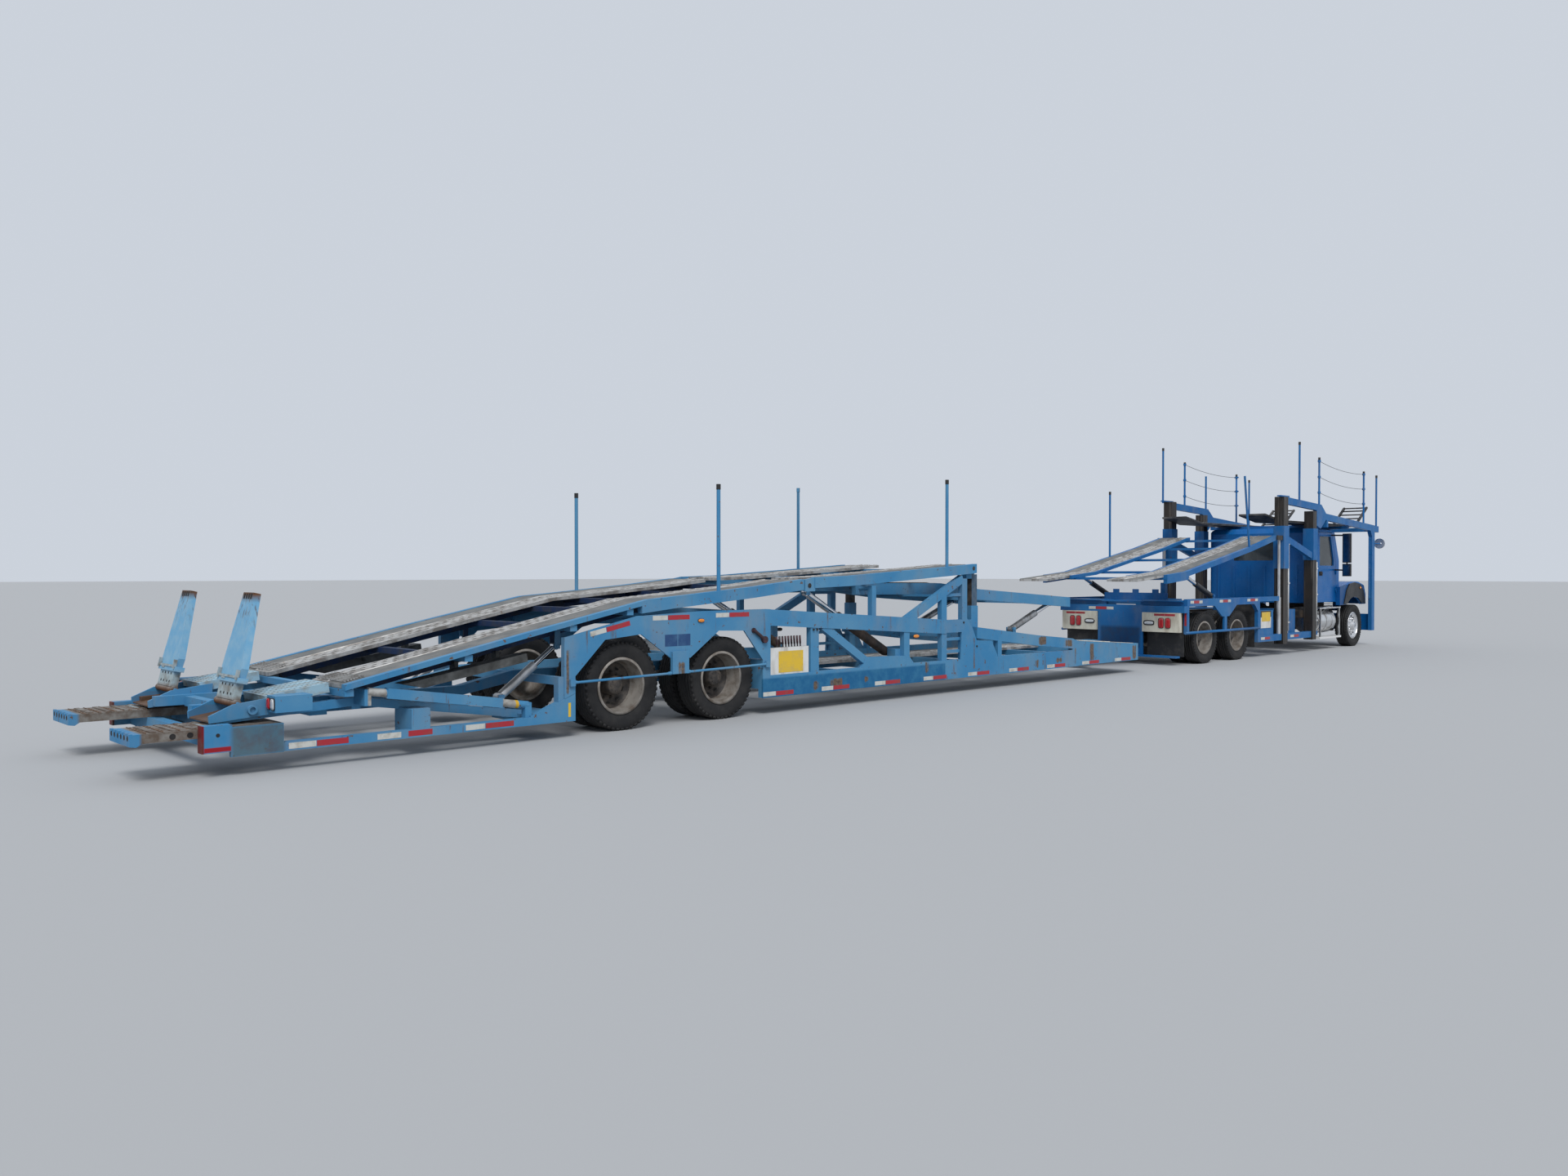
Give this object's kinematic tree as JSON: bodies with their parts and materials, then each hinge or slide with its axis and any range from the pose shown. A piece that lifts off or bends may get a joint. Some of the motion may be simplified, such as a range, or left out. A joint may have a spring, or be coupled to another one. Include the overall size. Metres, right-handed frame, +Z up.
{
  "type": "car transporter truck with trailer",
  "caption": "Articulated car transporter: a bonneted truck with a ramp deck and a rack over the cab, and a low stinger-hitched trailer with tilting wheel-track decks.",
  "frame": {"origin": "on the ground, half way along and on the centre line", "axes": "+X forward, +Y to the driver's left, +Z up"},
  "size_m": [25.865, 3, 4.2999],
  "materials": {
    "column_steel": "greasy",
    "cream": "satin",
    "cylinder_barrel": "satin",
    "cylinder_rod": "polished",
    "dark_steel": "greasy",
    "glass": "clear",
    "interior": "matte",
    "rim_polished": "polished",
    "rubber": "matte",
    "steel_track": "weathered",
    "tank_metal": "polished",
    "trailer_blue": "weathered",
    "truck_blue": "gloss",
    "tyre": "matte",
    "white": "satin"
  },
  "bodies": {
    "truck": {"truck_frame": "dark_steel", "carrier_sides": "truck_blue", "truck_axles": "dark_steel", "truck_lamp_boxes": "cream", "mud_flaps": "rubber", "rack_columns": "column_steel", "rack_cylinders": "cylinder_barrel", "head_rack": "truck_blue", "head_tracks": "steel_track", "cab_shell": "truck_blue", "cab_glass": "glass", "cab_interior": "interior", "engine_block": "dark_steel", "front_bumper": "truck_blue", "tanks_and_steps": "tank_metal", "side_boxes": "truck_blue"},
    "trailer": {"trailer_frame": "trailer_blue", "trailer_sides": "trailer_blue", "trailer_axles": "dark_steel", "lower_tracks": "steel_track", "valve_boards": "white", "tail_lamp_boxes": "cream"},
    "truck_deck": {"truck_deck": "truck_blue", "truck_deck_tracks": "steel_track"},
    "front_deck": {"front_deck": "trailer_blue", "front_deck_tracks": "steel_track"},
    "tail_deck": {"tail_deck": "trailer_blue", "tail_deck_tracks": "steel_track"},
    "neck_deck": {"neck_deck": "trailer_blue", "neck_deck_tracks": "steel_track"},
    "hood": {"hood": "truck_blue"},
    "tail_skids": {"tail_skids": "trailer_blue"},
    "knuckle_r": {"knuckle_r": "dark_steel"},
    "steer_wheel_r": {"steer_tyre_r": "tyre", "steer_rim_r": "rim_polished"},
    "door_r": {"door_r": "truck_blue", "door_glass_r": "glass"},
    "flipper_r": {"flipper_r": "trailer_blue"},
    "drive_wheel_1r": {"drive_wheel_1r": "tyre"},
    "drive_wheel_2r": {"drive_wheel_2r": "tyre"},
    "trailer_wheel_1r": {"trailer_wheel_1r": "tyre"},
    "trailer_wheel_2r": {"trailer_wheel_2r": "tyre"},
    "knuckle_l": {"knuckle_l": "dark_steel"},
    "steer_wheel_l": {"steer_tyre_l": "tyre", "steer_rim_l": "rim_polished"},
    "door_l": {"door_l": "truck_blue", "door_glass_l": "glass"},
    "flipper_l": {"flipper_l": "trailer_blue"},
    "drive_wheel_1l": {"drive_wheel_1l": "tyre"},
    "drive_wheel_2l": {"drive_wheel_2l": "tyre"},
    "trailer_wheel_1l": {"trailer_wheel_1l": "tyre"},
    "trailer_wheel_2l": {"trailer_wheel_2l": "tyre"},
    "truck_lift_barrel": {"truck_lift_barrels": "cylinder_barrel"},
    "truck_lift_rod": {"truck_lift_rods": "cylinder_rod"},
    "tail_lift_barrel": {"tail_lift_barrels": "cylinder_barrel"},
    "tail_lift_rod": {"tail_lift_rods": "cylinder_rod"},
    "front_lift_barrel": {"front_lift_barrels": "cylinder_barrel"},
    "front_lift_rod": {"front_lift_rods": "cylinder_rod"},
    "neck_lift_barrel": {"neck_lift_barrels": "cylinder_barrel"},
    "neck_lift_rod": {"neck_lift_rods": "cylinder_rod"}
  },
  "joints": [
    {"name": "trailer_pivot", "type": "hinge", "parent": "truck", "child": "trailer", "pos_m": [2.7325, 0, 0.4], "axis": [0, 0, 1], "range_deg": [-60, 60]},
    {"name": "steer_r", "type": "hinge", "parent": "truck", "child": "knuckle_r", "pos_m": [11.8225, -0.855, 0.464], "axis": [0, 0, 1], "range_deg": [-35, 35]},
    {"name": "steer_wheel_spin_r", "type": "hinge", "parent": "knuckle_r", "child": "steer_wheel_r", "pos_m": [11.8225, -1.035, 0.464], "axis": [0, 1, 0], "continuous": true},
    {"name": "drive_spin_1r", "type": "hinge", "parent": "truck", "child": "drive_wheel_1r", "pos_m": [4.6465, -0.925, 0.464], "axis": [0, 1, 0], "continuous": true},
    {"name": "drive_spin_2r", "type": "hinge", "parent": "truck", "child": "drive_wheel_2r", "pos_m": [5.9425, -0.925, 0.464], "axis": [0, 1, 0], "continuous": true},
    {"name": "trailer_spin_1r", "type": "hinge", "parent": "trailer", "child": "trailer_wheel_1r", "pos_m": [-8.2925, -0.925, 0.464], "axis": [0, 1, 0], "continuous": true},
    {"name": "trailer_spin_2r", "type": "hinge", "parent": "trailer", "child": "trailer_wheel_2r", "pos_m": [-6.9145, -0.925, 0.464], "axis": [0, 1, 0], "continuous": true},
    {"name": "door_swing_r", "type": "hinge", "parent": "truck", "child": "door_r", "pos_m": [11.0165, -1.073, 1.7], "axis": [0, 0, 1], "range_deg": [0, 70]},
    {"name": "flipper_fold_r", "type": "hinge", "parent": "trailer", "child": "flipper_r", "pos_m": [-12.0825, -0.8, 0.56], "axis": [0, -1, 0], "range_deg": [0, 100]},
    {"name": "steer_l", "type": "hinge", "parent": "truck", "child": "knuckle_l", "pos_m": [11.8225, 0.855, 0.464], "axis": [0, 0, 1], "range_deg": [-35, 35]},
    {"name": "steer_wheel_spin_l", "type": "hinge", "parent": "knuckle_l", "child": "steer_wheel_l", "pos_m": [11.8225, 1.035, 0.464], "axis": [0, 1, 0], "continuous": true},
    {"name": "drive_spin_1l", "type": "hinge", "parent": "truck", "child": "drive_wheel_1l", "pos_m": [4.6465, 0.925, 0.464], "axis": [0, 1, 0], "continuous": true},
    {"name": "drive_spin_2l", "type": "hinge", "parent": "truck", "child": "drive_wheel_2l", "pos_m": [5.9425, 0.925, 0.464], "axis": [0, 1, 0], "continuous": true},
    {"name": "trailer_spin_1l", "type": "hinge", "parent": "trailer", "child": "trailer_wheel_1l", "pos_m": [-8.2925, 0.925, 0.464], "axis": [0, 1, 0], "continuous": true},
    {"name": "trailer_spin_2l", "type": "hinge", "parent": "trailer", "child": "trailer_wheel_2l", "pos_m": [-6.9145, 0.925, 0.464], "axis": [0, 1, 0], "continuous": true},
    {"name": "door_swing_l", "type": "hinge", "parent": "truck", "child": "door_l", "pos_m": [11.0165, 1.073, 1.7], "axis": [0, 0, -1], "range_deg": [0, 70]},
    {"name": "flipper_fold_l", "type": "hinge", "parent": "trailer", "child": "flipper_l", "pos_m": [-12.0825, 0.8, 0.56], "axis": [0, -1, 0], "range_deg": [0, 100]},
    {"name": "hood_tilt", "type": "hinge", "parent": "truck", "child": "hood", "pos_m": [12.5425, 0, 0.73], "axis": [0, 1, 0], "range_deg": [0, 45]},
    {"name": "skid_slide", "type": "slide", "parent": "trailer", "child": "tail_skids", "axis": [1, 0, 0], "range_m": [0, 0.45]},
    {"name": "truck_deck_lift", "type": "hinge", "parent": "truck", "child": "truck_deck", "pos_m": [7.5525, 0, 2.33], "axis": [0, 1, 0], "range_deg": [0, 10]},
    {"name": "truck_lift_swing", "type": "hinge", "parent": "truck", "child": "truck_lift_barrel", "pos_m": [5.1625, 0, 1.21], "axis": [0, 1, 0], "range_deg": [0, 21.69]},
    {"name": "truck_lift_stroke", "type": "slide", "parent": "truck_lift_barrel", "child": "truck_lift_rod", "axis": [-0.9367, 0, 0.3501], "range_m": [0, 0.3856]},
    {"name": "front_deck_lift", "type": "hinge", "parent": "trailer", "child": "front_deck", "pos_m": [-2.3625, 0, 1.7], "axis": [0, 1, 0], "range_deg": [0, 8]},
    {"name": "front_lift_swing", "type": "hinge", "parent": "trailer", "child": "front_lift_barrel", "pos_m": [-3.8925, 0, 0.6], "axis": [0, 1, 0], "range_deg": [0, 10.94]},
    {"name": "front_lift_stroke", "type": "slide", "parent": "front_lift_barrel", "child": "front_lift_rod", "axis": [-0.8824, 0, 0.4706], "range_m": [0, 0.24612]},
    {"name": "tail_deck_fold", "type": "hinge", "parent": "front_deck", "child": "tail_deck", "pos_m": [-5.5925, 0, 1.49], "axis": [0, 1, 0], "range_deg": [-12.59, 0]},
    {"name": "tail_lift_swing", "type": "hinge", "parent": "trailer", "child": "tail_lift_barrel", "pos_m": [-9.5825, 0, 0.42], "axis": [0, 1, 0], "range_deg": [-6.76, 0]},
    {"name": "tail_lift_stroke", "type": "slide", "parent": "tail_lift_barrel", "child": "tail_lift_rod", "axis": [0.8044, 0, 0.594], "range_m": [0, 0.16605]},
    {"name": "neck_deck_lift", "type": "hinge", "parent": "trailer", "child": "neck_deck", "pos_m": [-4.4325, 0, 1.44], "axis": [0, 1, 0], "range_deg": [0, 3]},
    {"name": "neck_lift_swing", "type": "hinge", "parent": "trailer", "child": "neck_lift_barrel", "pos_m": [-0.9625, 0, 0.8], "axis": [0, 1, 0], "range_deg": [0, 12.42]},
    {"name": "neck_lift_stroke", "type": "slide", "parent": "neck_lift_barrel", "child": "neck_lift_rod", "axis": [0.9394, 0, 0.3429], "range_m": [-0.07647, 0]}
  ],
  "couplings": [
    {"joint": "steer_l", "follows": "steer_r", "ratio": 1},
    {"joint": "truck_lift_swing", "follows": "truck_deck_lift", "ratio": 2.1681},
    {"joint": "truck_lift_stroke", "follows": "truck_deck_lift", "m_per_rad": 2.2082},
    {"joint": "front_lift_swing", "follows": "front_deck_lift", "ratio": 1.366},
    {"joint": "front_lift_stroke", "follows": "front_deck_lift", "m_per_rad": 1.7613},
    {"joint": "tail_deck_fold", "follows": "front_deck_lift", "ratio": -1.573},
    {"joint": "tail_lift_swing", "follows": "front_deck_lift", "ratio": -0.8432},
    {"joint": "tail_lift_stroke", "follows": "front_deck_lift", "m_per_rad": 1.1878},
    {"joint": "neck_lift_swing", "follows": "neck_deck_lift", "ratio": 4.1364},
    {"joint": "neck_lift_stroke", "follows": "neck_deck_lift", "m_per_rad": -1.4566}
  ]
}
